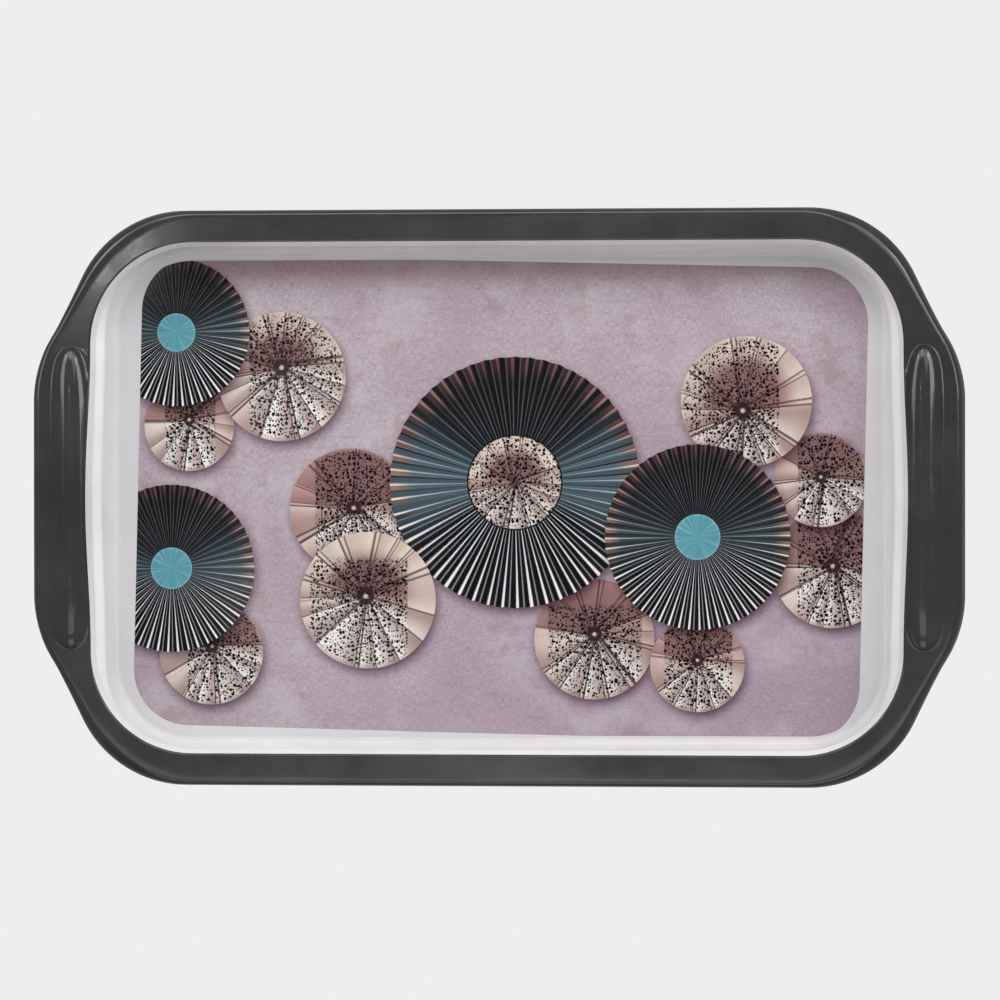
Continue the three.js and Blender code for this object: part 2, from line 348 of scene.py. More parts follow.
def foot_curve(station, wall_end):
    """The foot ring, from the end of the outside wall to the base within the ring."""
    base_height = FLOOR_HEIGHT - LINER_THICKNESS - CAD_GAP - SHELL_THICKNESS
    outer = -station.to_floor - FOOT_INSET
    inner = outer - FOOT_WIDTH
    base = complex(inner - FOOT_DRAFT, base_height)
    towards_middle = base - 1
    corners = [
        wall_end,
        complex(outer + FOOT_DRAFT, base_height),
        complex(outer, 0),
        complex(inner, 0),
        base,
        towards_middle,
    ]
    triples = zip(corners, corners[1:], corners[2:])
    return np.concatenate([rounded(*triple, FOOT_ROUND) for triple in triples])


def shell_section(station):
    """The shell's inside wall, rim, skirt and its underside, outside wall and foot ring."""
    drop = SKIRT_DROP + (HANDLE_DROP - SKIRT_DROP) * station.handle_share
    sharpness = station.rim_sharpness
    wall = wall_curve(station)
    inner_wall = thickened(wall, LINER_THICKNESS + SEAM)[::-1]
    outer_wall = thickened(wall, LINER_THICKNESS + CAD_GAP + SHELL_THICKNESS)

    rim = rim_curve(sharpness, 0, station.to_edge, RIM_HEIGHT, drop)
    inner_corner = complex(0, RIM_HEIGHT)
    inner_wall = inner_wall[inner_wall.imag < RIM_HEIGHT - 2 * RIM_INNER_ROUND]
    inner_round = rounded(inner_wall[-1], inner_corner, rim[-1], RIM_INNER_ROUND)

    under_top = RIM_HEIGHT - RIM_THICKNESS
    top_step = outer_wall[0] - outer_wall[1]
    slope = top_step.real / top_step.imag
    under_start = outer_wall[0].real + slope * (under_top - outer_wall[0].imag)
    under_end = station.to_edge - EDGE_THICKNESS
    under = rim_curve(sharpness, under_start, under_end, under_top, drop - RIM_THICKNESS)[::-1]

    skirt_height = RIM_HEIGHT - drop
    rim = rim[(rim.real > RIM_INNER_ROUND) & (rim.imag > skirt_height + SKIRT_EDGE_ROUND)]
    under = under[under.imag > skirt_height + SKIRT_EDGE_ROUND]
    outer_corner = complex(station.to_edge, skirt_height)
    inner_edge = complex(under_end, skirt_height)
    edge = np.concatenate([
        rounded(rim[-1], outer_corner, inner_edge, SKIRT_EDGE_ROUND),
        rounded(outer_corner, inner_edge, under[0], SKIRT_EDGE_ROUND),
    ])
    return np.concatenate([
        inner_wall,
        inner_round,
        evenly(rim, RIM_ROWS),
        edge,
        evenly(under, UNDER_ROWS),
        outer_wall[1:],
        foot_curve(station, outer_wall[-1]),
    ])


def liner_section(station):
    """The liner's pocket for the print, its wall, its lip and its back."""
    wall = wall_curve(station)
    back = thickened(wall, LINER_THICKNESS)
    wall = wall[::-1]
    lip_edge = complex(-SEAM, RIM_HEIGHT)
    lip = rounded(wall[-1], lip_edge, lip_edge - LIP_ROUND * 1j, LIP_ROUND)
    back = back[back.imag < RIM_HEIGHT - LIP_FALL]
    pocket = [
        complex(SEAM - station.to_decal, FLOOR_HEIGHT - DECAL_THICKNESS - SEAM),
        complex(SEAM - station.to_decal, FLOOR_HEIGHT),
    ]
    return np.concatenate([pocket, wall, lip, back])


# ---------------------------------------------------------------- meshes

def new_object(name, data):
    obj = bpy.data.objects.new(name, data)
    bpy.context.scene.collection.objects.link(obj)
    return obj


def loft(name, stations, make_section):
    """A closed body through one section per station, closed by a point in the middle at each end."""
    sections = [make_section(station) for station in stations]
    count, rows = len(stations), len(sections[0])
    vertices = []
    for row in range(rows):
        for station, section in zip(stations, sections):
            place = station.place(section[row].real)
            vertices.append((place.real, place.imag, section[row].imag + ridge_lift(place)))
    vertices.append((0, 0, sections[0][0].imag))
    vertices.append((0, 0, sections[0][-1].imag))
    first_middle, last_middle = rows * count, rows * count + 1
    faces = []
    for here in range(count):
        following = (here + 1) % count
        faces.append((first_middle, here, following))
        for row in range(rows - 1):
            inner, outer = row * count, (row + 1) * count
            faces.append((inner + here, outer + here, outer + following, inner + following))
        faces.append(((rows - 1) * count + here, last_middle, (rows - 1) * count + following))
    mesh = bpy.data.meshes.new(name)
    mesh.from_pydata(vertices, [], faces)
    mesh.shade_smooth()
    obj = new_object(name, mesh)
    obj.modifiers.new("weighted_normals", "WEIGHTED_NORMAL")
    return obj


# ---------------------------------------------------------------- the printed pattern
# Pleated paper fans lie over one another on linen. Each is cut into the sheet's mesh as a face region of
# its own, so that its material can be drawn about its own middle.

@dataclass
class Fan:
    """A paper fan. Places and radii are in millimetres, and the limits of its speckles in fan radii.

    hub is the point that the pleats run to, where that isn't the middle, and disc is the radius of a disc on
    it. tint is how blue a steel fan is, or how cream a rose fan's rim.
    """
    kind: str
    middle: complex
    radius: float
    pleats: int
    hub: complex | None = None
    disc: float = 0
    disc_kind: str = ""
    tint: float = 0
    speckle_left: float = -2
    speckle_right: float = 2
    speckle_top: float = 2


# From the lowest to the uppermost
FANS = [
    Fan("rose", -134.4 + 31.1j, 19.6, 13, hub=-134.4 + 33.7j, speckle_left=-0.55, speckle_right=0.6),
    Fan("rose", -94.1 + 52.3j, 27.9, 15, hub=-94.1 + 56.2j, tint=0.8, speckle_left=-0.52),
    Fan("steel", -140.0 + 71.5j, 31.9, 46, disc=8.3, disc_kind="turquoise", tint=0.3),
    Fan("rose", -124.9 - 67.0j, 22.6, 14, hub=-124.5 - 64.4j, speckle_left=-0.5),
    Fan("steel", -142.3 - 30.6j, 36.2, 50, disc=9.0, disc_kind="turquoise", tint=0.35),
    Fan("rose", -64.1 - 5.3j, 26.5, 12, hub=-62.8 - 4.5j, speckle_left=-0.64),
    Fan("rose", 41.3 - 61.0j, 25.9, 14, hub=41.3 - 58.8j, speckle_left=-0.78, speckle_right=0.8,
        speckle_top=0.47),
    Fan("steel", 7.0 + 6.5j, 54.0, 52, disc=20.7, disc_kind="speckled", tint=1.0),
    Fan("rose", -56.7 - 44.3j, 29.5, 15, hub=-57.6 - 42.6j, tint=1.0, speckle_left=-0.84,
        speckle_right=0.63, speckle_top=0.54),
    Fan("rose", 143.6 - 30.3j, 25.7, 13, hub=143.6 - 29.4j, speckle_left=-0.6),
    Fan("rose", 138.5 + 7.5j, 20.2, 12, hub=138.5 + 8.8j, speckle_left=-0.5),
    Fan("rose", 106.7 + 41.1j, 28.1, 14, hub=105.1 + 37.2j, tint=0.8, speckle_right=0.57),
    Fan("rose", 85.6 - 71.9j, 20.3, 13, hub=85.6 - 69.9j, speckle_left=-0.72, speckle_right=0.75),
    Fan("steel", 85.7 - 17.0j, 39.8, 56, disc=9.8, disc_kind="turquoise", tint=0.15),
]

# Pleats of the paper on a disc
DISC_PLEATS = 14

# Corners of a fan's rim on each pleat. A steel fan's rim zigzags, by this share of its radius
ZIGZAG = 0.004
ZIGZAG_CORNERS = 2
ROUND_CORNERS = 6

# Shadow of a fan on the paper under it, in millimetres
SHADOW_OFFSET = 0.9 - 2.2j
SHADOW_BLUR = 4.2

# Loose points of the sheet's mesh, in millimetres: a grid, and rings beyond and within each shadow's edge
GRID_STEP = 6.0
RING_STEP = 2.5
RING_DISTANCES = (-3.0, -1.5, 0.0, 1.5, 3.0, 4.5)

# The triangulation keeps the triangles within the closed outlines, and merges points that are this close
TRIANGLES_WITHIN = 1
MERGE_DISTANCE = 1e-4

# Stands for the number of a layer where the linen shows
LINEN = -1


@dataclass
class Layer:
    """A fan or a disc of the print, in millimetres, and what its material needs to know about it.

    traits are its number of pleats, its seed for chance and its tint. speckles are the left, right and upper
    limits of its speckles, and fan is the number of the fan it belongs to.
    """
    kind: str
    middle: complex
    radius: float
    hub: complex
    outline: np.ndarray
    traits: tuple
    speckles: tuple
    fan: int


def fan_rim(fan):
    """A fan's outline: a zigzag of pleats for steel paper, and round for rose paper."""
    zigzags = fan.kind == "steel"
    corners = fan.pleats * (ZIGZAG_CORNERS if zigzags else ROUND_CORNERS)
    number = np.arange(corners)
    depth = ZIGZAG * np.where(number % 2, -1, 1) if zigzags else 0
    return fan.middle + fan.radius * (1 + depth) * np.exp(1j * (number * 2 * math.pi / corners))


def print_layers():
    """The fans and the discs on them, from the lowest to the uppermost."""
    layers = []
    for number, fan in enumerate(FANS):
        hub = fan.middle if fan.hub is None else fan.hub
        traits = (fan.pleats, number, fan.tint)
        speckles = (fan.speckle_left, fan.speckle_right, fan.speckle_top)
        rim = fan_rim(fan)
        layers.append(Layer(fan.kind, fan.middle, fan.radius, hub, rim, traits, speckles, number))
        if fan.disc:
            edge = arc(fan.middle, fan.disc, 0, 2 * math.pi)[:-1]
            disc_traits = (DISC_PLEATS, number, fan.tint)
            layers.append(
                Layer(fan.disc_kind, fan.middle, fan.disc, fan.middle, edge, disc_traits, speckles, number)
            )
    return layers


def inside(points, outline):
    """Which of the points lie inside a closed outline."""
    result = np.zeros(len(points), bool)
    for a, b in zip(outline, np.roll(outline, -1)):
        spans = (a.imag > points.imag) != (b.imag > points.imag)
        if a.imag == b.imag:
            continue
        meets = a.real + (points.imag - a.imag) / (b.imag - a.imag) * (b.real - a.real)
        result ^= spans & (points.real < meets)
    return result


def shadow(points, above):
    """How much the fans above shade each point, from 0 to 1."""
    light = np.ones(len(points))
    for fan in above:
        beyond = np.abs(points - fan.middle - SHADOW_OFFSET) - fan.radius
        covered = np.clip((SHADOW_BLUR - beyond) / (2 * SHADOW_BLUR), 0, 1)
        light *= 1 - covered * covered * (3 - 2 * covered)
    return 1 - light


def sheet_points(outline):
    """Loose points of the sheet's mesh: a coarse grid, and rings along the edge of each fan's shadow."""
    across = np.arange(-DECAL_LENGTH / MM / 2, DECAL_LENGTH / MM / 2, GRID_STEP)
    up = np.arange(-DECAL_WIDTH / MM / 2, DECAL_WIDTH / MM / 2, GRID_STEP)
    points = [(across[:, None] + 1j * up[None, :]).ravel()]
    for fan in FANS:
        for beyond in RING_DISTANCES:
            radius = fan.radius + beyond
            steps = int(2 * math.pi * radius / RING_STEP)
            points.append(arc(fan.middle + SHADOW_OFFSET, radius, 0, 2 * math.pi, steps)[:-1])
    points = np.concatenate(points)
    return points[inside(points, outline)]


def triangulate(outline, layers):
    """The sheet cut into triangles that no fan's rim crosses."""
    points = list(sheet_points(outline))
    edges = []
    for loop in [outline] + [layer.outline for layer in layers]:
        first = len(points)
        points.extend(loop)
        edges.extend((first + i, first + (i + 1) % len(loop)) for i in range(len(loop)))
    flat = [Vector((p.real, p.imag)) for p in points]
    vertices, _, faces, *_ = geometry.delaunay_2d_cdt(
        flat, edges, [], TRIANGLES_WITHIN, MERGE_DISTANCE, False,
    )
    places = np.array([complex(v.x, v.y) for v in vertices])
    triangles = np.array([list(face) for face in faces])
    triangles = triangles[inside(places[triangles].mean(1), outline)]
    used, triangles = np.unique(triangles, return_inverse=True)
    return places[used], triangles.reshape(-1, 3)


def boundary(triangles):
    """The loop of vertices round the sheet's edge, anticlockwise."""
    sides = {(int(face[i]), int(face[(i + 1) % 3])) for face in triangles for i in range(3)}
    following = {a: b for a, b in sides if (b, a) not in sides}
    loop = [next(iter(following))]
    while following[loop[-1]] != loop[0]:
        loop.append(following[loop[-1]])
    return loop


def sheet_mesh(places, triangles):
    """The sheet's upper side in triangles, then the faces of its edge and its underside."""
    loop = boundary(triangles)
    count = len(loop)
    top = [(p.real * MM, p.imag * MM, DECAL_HIGH.z) for p in places]
    under = [(places[i].real * MM, places[i].imag * MM, DECAL_LOW.z) for i in loop]
    lower = [len(top) + i for i in range(count)]
    faces = [tuple(face) for face in triangles.tolist()]
    faces += [(loop[i], lower[i], lower[(i + 1) % count], loop[(i + 1) % count]) for i in range(count)]
    faces.append(tuple(reversed(lower)))
    mesh = bpy.data.meshes.new("printed_sheet")
    mesh.from_pydata(top + under, [], faces)
    return mesh


def owners(layers, centres):
    """The number of the uppermost layer under each triangle's centre, or LINEN where there is none."""
    owner = np.full(len(centres), LINEN)
    for number, layer in enumerate(layers):
        owner[inside(centres, layer.outline)] = number
    return owner


def corner_attribute(mesh, name, values, width):
    """Stores values at the corners of the triangles, which come first, and zeros at all other corners."""
    attribute = mesh.attributes.new(name, "FLOAT_VECTOR" if width == 3 else "FLOAT", "CORNER")
    padded = np.zeros(len(mesh.loops) * width, np.float32)
    padded[:values.size] = values.ravel()
    attribute.data.foreach_set("vector" if width == 3 else "value", padded)


def make_print(stations):
    """The printed sheet: its upper side in regions, its edge and its plain underside."""
    outline = np.array([station.place(-station.to_decal) for station in stations]) / MM
    layers = print_layers()
    places, triangles = triangulate(outline, layers)
    mesh = sheet_mesh(places, triangles)
    corners = places[triangles]
    owner = owners(layers, corners.mean(1))

    fan_place = np.zeros((*triangles.shape, 3))
    traits = np.zeros_like(fan_place)
    speckles = np.zeros_like(fan_place)
    for number, layer in enumerate(layers):
        mine = owner == number
        local = (corners[mine] - layer.hub) / layer.radius
        from_middle = np.abs(corners[mine] - layer.middle) / layer.radius
        fan_place[mine] = np.stack([local.real, local.imag, from_middle], -1)
        traits[mine] = layer.traits
        speckles[mine] = layer.speckles

    shade = np.zeros(triangles.shape)
    for number in range(LINEN, len(layers)):
        mine = owner == number
        above = FANS if number == LINEN else FANS[layers[number].fan + 1:]
        shade[mine] = shadow(corners[mine].ravel(), above).reshape(-1, 3)

    corner_attribute(mesh, "fan_place", fan_place, 3)
    corner_attribute(mesh, "fan_traits", traits, 3)
    corner_attribute(mesh, "speckle_field", speckles, 3)
    corner_attribute(mesh, "shade", shade, 1)

    kinds = list(PRINT_MATERIALS)
    linen = kinds.index("linen")
    slots = [linen if number == LINEN else kinds.index(layers[number].kind) for number in owner]
    slots += [linen] * (len(mesh.polygons) - len(triangles))
    mesh.polygons.foreach_set("material_index", slots)
    return new_object("printed_sheet", mesh)


# ---------------------------------------------------------------- materials

def tone(red, green, blue):
    """A linear colour from sRGB values of 0 to 255."""
    def linear(value):
        share = value / 255
        return share / 12.92 if share <= 0.04045 else ((share + 0.055) / 1.055) ** 2.4
    return (linear(red), linear(green), linear(blue), 1.0)


BLACK = (0.0, 0.0, 0.0, 1.0)

# A mix node's sockets for colours: its factor, its two colours and its result
MIX_INPUTS = (0, 6, 7)
MIX_RESULT = 2


class Field:
    """A number that varies over a surface, and the sums that can be done with it."""

    def __init__(self, graph, socket):
        self.graph = graph
        self.socket = socket

    def math(self, operation, *others):
        node = self.graph.tree.nodes.new("ShaderNodeMath")
        node.operation = operation
        for socket, value in zip(node.inputs, (self, *others)):
            self.graph.feed(socket, value)
        return Field(self.graph, node.outputs[0])

    def __add__(self, other):
        return self.math("ADD", other)

    def __sub__(self, other):
        return self.math("SUBTRACT", other)

    def __mul__(self, other):
        return self.math("MULTIPLY", other)

    def __truediv__(self, other):
        return self.math("DIVIDE", other)

    def __neg__(self):
        return self.math("MULTIPLY", -1)

    def __pow__(self, other):
        return self.math("POWER", other)

    def above(self, low, high):
        """0 below low, 1 above high, and smooth in between. It falls instead where high is the lower."""
        node = self.graph.tree.nodes.new("ShaderNodeMapRange")
        node.interpolation_type = "SMOOTHSTEP"
        flips = not isinstance(low, Field) and not isinstance(high, Field) and low > high
        ends = (high, low, 1, 0) if flips else (low, high, 0, 1)
        for name, value in zip(("From Min", "From Max", "To Min", "To Max"), ends):
            self.graph.feed(node.inputs[name], value)
        self.graph.feed(node.inputs["Value"], self)
        return Field(self.graph, node.outputs["Result"])

    def near(self, centre, reach, blur):
        """1 within reach of centre, and 0 further than that by blur."""
        return (self - centre).math("ABSOLUTE").above(reach + blur, reach)


class Graph:
    """The nodes of one material."""

    def __init__(self, name, roughness):
        self.material = bpy.data.materials.new(name)
        self.material.use_nodes = True
        self.tree = self.material.node_tree
        self.shader = self.tree.nodes["Principled BSDF"]
        self.set("Roughness", roughness)

    def set(self, name, value):
        self.feed(self.shader.inputs[name], value)

    def feed(self, socket, value):
        if isinstance(value, Field):
            value = value.socket
        if isinstance(value, bpy.types.NodeSocket):
            self.tree.links.new(value, socket)
        else:
            socket.default_value = value

    def node(self, kind, inputs, **settings):
        node = self.tree.nodes.new(kind)
        for name, value in settings.items():
            setattr(node, name, value)
        for name, value in inputs.items():
            self.feed(node.inputs[name], value)
        return node

    def place(self):
        return self.node("ShaderNodeTexCoord", {}).outputs["Object"]

    def attribute(self, name):
        return self.node("ShaderNodeAttribute", {}, attribute_name=name).outputs["Vector"]

    def number(self, name):
        return Field(self, self.node("ShaderNodeAttribute", {}, attribute_name=name).outputs["Fac"])

    def split(self, vector):
        return [Field(self, out) for out in self.node("ShaderNodeSeparateXYZ", {"Vector": vector}).outputs]

    def join(self, x, y, z=0.0):
        return self.node("ShaderNodeCombineXYZ", {"X": x, "Y": y, "Z": z}).outputs[0]

    def scaled(self, vector, x, y, z=1.0):
        node = self.node("ShaderNodeVectorMath", {0: vector, 1: (x, y, z)}, operation="MULTIPLY")
        return node.outputs[0]

    def noise(self, vector, scale, detail=2.0, roughness=0.5):
        inputs = {"Vector": vector, "Scale": scale, "Detail": detail, "Roughness": roughness}
        return Field(self, self.node("ShaderNodeTexNoise", inputs).outputs[0])

    def chance(self, vector):
        """A random number for each value of vector."""
        return Field(self, self.node("ShaderNodeTexWhiteNoise", {"Vector": vector}).outputs["Value"])

    def mix(self, factor, a, b, mode="MIX"):
        node = self.tree.nodes.new("ShaderNodeMix")
        node.data_type = "RGBA"
        node.blend_type = mode
        for index, value in zip(MIX_INPUTS, (factor, a, b)):
            self.feed(node.inputs[index], value)
        return node.outputs[MIX_RESULT]

    def ramp(self, field, *stops):
        """A colour that changes with a field, through pairs of a value and a colour."""
        node = self.node("ShaderNodeValToRGB", {"Fac": field})
        elements = node.color_ramp.elements
        elements[0].position, elements[0].color = stops[0]
        elements[1].position, elements[1].color = stops[-1]
        for position, colour in stops[1:-1]:
            elements.new(position).color = colour
        return node.outputs["Color"]

    def bump(self, height, distance, strength):
        node = self.node("ShaderNodeBump", {"Height": height, "Distance": distance, "Strength": strength})
        self.tree.links.new(node.outputs[0], self.shader.inputs["Normal"])


PRINT_ROUGHNESS = 0.55
GLAZE_WEIGHT = 0.6
GLAZE_ROUGHNESS = 0.06
SHADE_TONE = tone(108, 74, 102)


def glazed(name):
    """A printed paper under clear glaze."""
    graph = Graph(name, PRINT_ROUGHNESS)
    graph.set("Coat Weight", GLAZE_WEIGHT)
    graph.set("Coat Roughness", GLAZE_ROUGHNESS)
    graph.set("Specular IOR Level", 0.0)
    return graph


def finish_print(graph, colour):
    """Lays the shadow of the fans above over a colour, and gives it to the shader."""
    graph.set("Base Color", graph.mix(graph.number("shade"), colour, SHADE_TONE, "MULTIPLY"))
    return graph.material


def linen_material():
    """Lilac linen: purple towards the lower right, cloudy and stained, and with a browner painted shade
    along its top edge, where the tray's top wall shades it.
    """
    graph = glazed("printed_linen")
    place = graph.place()
    x, y, _ = graph.split(place)
    blotches = graph.noise(place, 9, 4)
    colour = graph.ramp(
        blotches, (0.3, tone(171, 152, 165)), (0.5, tone(183, 170, 178)), (0.7, tone(190, 181, 187)),
    )
    purple = (x * 3 - y * 6 + graph.noise(place, 14) * 0.8).above(0.3, 1.3)
    colour = graph.mix(purple * 0.75, colour, tone(163, 143, 160))
    warp = graph.noise(graph.scaled(place, 1, 6), 420, 2)
    weft = graph.noise(graph.scaled(place, 6, 1), 420, 2)
    threads = (warp + weft).above(0.75, 1.25)
    colour = graph.mix(threads * 0.5, colour, tone(128, 106, 114))
    clouds = graph.noise(place, 28, 5, 0.6)
    colour = graph.mix(clouds.above(0.45, 0.7) * 0.4, colour, tone(200, 194, 200))
    colour = graph.mix(clouds.above(0.5, 0.3) * 0.3, colour, tone(156, 132, 150))
    stains = graph.noise(place, 60, 5, 0.65).above(0.52, 0.7)
    colour = graph.mix(stains * 0.4, colour, tone(146, 116, 118))
    streaks = graph.noise(graph.scaled(place, 1, 8), 75, 3, 0.6).above(0.56, 0.7)
    colour = graph.mix(streaks * 0.35, colour, tone(150, 124, 134))
    # Painted shade: a browner band along the top edge, next to the tray's top wall
    top_edge_shade = (y + graph.noise(place, 22, 3) * 0.012).above(0.094, 0.106)
    colour = graph.mix(top_edge_shade * 0.5, colour, tone(138, 104, 98))
    return finish_print(graph, colour)


# Keeps the hub itself out of a division
HUB_SLACK = 1e-4


class PaperPlace:
    """Where a point lies on its fan or disc, in fan radii.

    x, y and radius are measured from the hub, and rim from the middle. up runs from -1 below the hub to 1
    above it.
    """

    def __init__(self, graph):
        self.x, self.y, self.rim = graph.split(graph.attribute("fan_place"))
        self.radius = (self.x * self.x + self.y * self.y).math("SQRT") + HUB_SLACK
        self.up = self.y / self.radius


class Pleat:
    """The pleat that a point lies on.

    phase runs from 0 to 1 across it. luck and second_luck are random numbers of its own. up runs from -1 for
    a pleat that points down to 1 for one that points up. waver makes the pleats unequal.
    """

    def __init__(self, graph, place, waver=0.0):
        self.count, seed, self.tint = graph.split(graph.attribute("fan_traits"))
        angle = place.y.math("ARCTAN2", place.x)
        turn = (angle + math.pi) * self.count / (2 * math.pi)
        turn = turn + (angle * 3 + seed * 2).math("SINE") * waver
        turn = turn + (angle * 5 + seed).math("SINE") * (waver / 2)
        whole = turn.math("FLOOR")
        number = whole.math("FLOORED_MODULO", self.count)
        self.phase = turn - whole
        self.luck = graph.chance(graph.join(number, seed))
        self.second_luck = graph.chance(graph.join(number, seed + 0.5))
        self.up = (angle + (-self.phase + 0.5) * (2 * math.pi) / self.count).math("SINE")


# Across a steel fan's pleat, from 0 to 1: the middle of its light bar, and the crease before its dark side
BAR_PLACE = 0.17
CREASE_PLACE = 0.62
CREASE_BLUR = 0.02
CREASE_HALF_WIDTH = 0.035


def steel_material():
    """Dark pleated paper that is pale below the hub, each pleat with a light bar and a fine line on it."""
    graph = glazed("printed_steel_fan")
    place = PaperPlace(graph)
    pleat = Pleat(graph, place)
    luck = pleat.luck
    phase = pleat.phase + (luck - 0.5) * 0.08
    side = place.up * 0.5 + 0.5
    beside_hub = side.near(0.52, 0.1, 0.22)

    light = graph.ramp(
        side, (0.0, tone(226, 228, 230)), (0.25, tone(216, 218, 218)), (0.45, tone(190, 194, 194)),
        (0.55, tone(150, 160, 164)), (0.7, tone(76, 80, 84)), (1.0, tone(52, 50, 52)),
    )
    facet = graph.ramp(
        side, (0.0, tone(9, 9, 12)), (0.3, tone(14, 16, 18)), (0.45, tone(40, 46, 50)),
        (0.52, tone(62, 70, 74)), (0.68, tone(34, 37, 40)), (1.0, tone(15, 14, 15)),
    )
    line = graph.ramp(
        side, (0.0, tone(130, 132, 135)), (0.3, tone(112, 118, 123)), (0.5, tone(16, 18, 21)),
        (0.7, tone(12, 12, 14)), (1.0, tone(74, 70, 72)),
    )
    dark = graph.ramp(
        side, (0.0, tone(9, 9, 12)), (0.3, tone(12, 13, 15)), (0.5, tone(36, 42, 46)),
        (0.7, tone(24, 26, 28)), (1.0, tone(14, 13, 14)),
    )
    tip_light = graph.ramp(
        side, (0.0, tone(234, 231, 229)), (0.5, tone(228, 214, 204)), (0.72, tone(164, 132, 124)),
        (1.0, tone(98, 70, 74)),
    )
    tip_dark = graph.ramp(
        side, (0.0, tone(26, 16, 20)), (0.35, tone(44, 32, 32)), (0.5, tone(158, 122, 104)),
        (0.7, tone(92, 60, 60)), (1.0, tone(58, 34, 40)),
    )
    blue = pleat.tint * beside_hub
    light = graph.mix(blue * 0.6, light, tone(146, 176, 188))
    facet = graph.mix(blue * 0.6, facet, tone(92, 114, 124))
    dark = graph.mix(blue * 0.6, dark, tone(80, 100, 110))
    tip = (place.rim + (luck - 0.5) * 0.06).above(0.8, 0.98)
    light = graph.mix(tip, light, tip_light)
    facet = graph.mix(tip * 0.85, facet, tip_dark)

    width = (place.radius * 0.08 + 0.03) * (-beside_hub * 0.3 + 1) * (luck * 0.4 + 0.8)
    inward = place.radius.above(0.85, 0.35) * (blue * 0.4 + 0.2)
    light = graph.mix(inward, light, tone(150, 184, 198))
    bar = (phase - BAR_PLACE).math("ABSOLUTE") - width
    colour = graph.mix(phase.above(CREASE_PLACE - CREASE_BLUR, CREASE_PLACE + CREASE_BLUR), facet, dark)
    colour = graph.mix(phase.near(CREASE_PLACE, CREASE_HALF_WIDTH, CREASE_HALF_WIDTH), colour, line)
    colour = graph.mix(bar.above(0.02, -0.02), colour, light)
    edge = bar.near(0, 0.015, 0.03)
    colour = graph.mix(edge * 0.5, colour, tone(10, 10, 12))
    grain = graph.noise(graph.place(), 900, 2)
    colour = graph.mix((grain - 0.5) * 0.3 + 0.02, colour, tone(60, 62, 66))
    return finish_print(graph, colour)


# Paint speckles, as grids of cells: cells per metre, and the least and greatest radius of a spot in cells
SPECKLE_GRIDS = ((520.0, 0.16, 0.4), (860.0, 0.17, 0.37))
SPECKLE_WOBBLE = 0.6 * MM


def paint_speckles(graph, radius):
    """Black paint speckles: most near the hub and fewer further out."""
    place = graph.place()
    wobble = graph.node("ShaderNodeTexNoise", {"Vector": place, "Scale": 1300.0, "Detail": 1.0})
    shift = graph.scaled(wobble.outputs["Color"], SPECKLE_WOBBLE, SPECKLE_WOBBLE, 0)
    bent = graph.node("ShaderNodeVectorMath", {0: shift, 1: place}, operation="ADD").outputs[0]
    share = radius.above(0.75, 0.1) * 0.3 + 0.68
    spots = None
    for scale, least, greatest in SPECKLE_GRIDS:
        inputs = {"Vector": bent, "Scale": scale}
        cells = graph.node("ShaderNodeTexVoronoi", inputs, voronoi_dimensions="2D")
        distance = Field(graph, cells.outputs["Distance"])
        luck, second_luck, _ = graph.split(cells.outputs["Color"])
        size = second_luck * (greatest - least) + least
        spot = (distance - size).above(0.05, -0.05) * (share - luck).above(-0.01, 0.01)
        spots = spot if spots is None else spots.math("MAXIMUM", spot)
    return spots


# Double folds of the rose fans, in fan radii: the space between the two lines at the rim, and a line's width
FOLD_BAND = 0.085
FOLD_LINE = 0.016
PANEL_WAVER = 0.26

# A rose fan's hub, in fan radii: a dark ring round a pale dot
RING_RADIUS = 0.09
RING_HALF_WIDTH = 0.02
RING_BLUR = 0.035
DOT_INSIDE = 0.024
DOT_OUTSIDE = 0.042


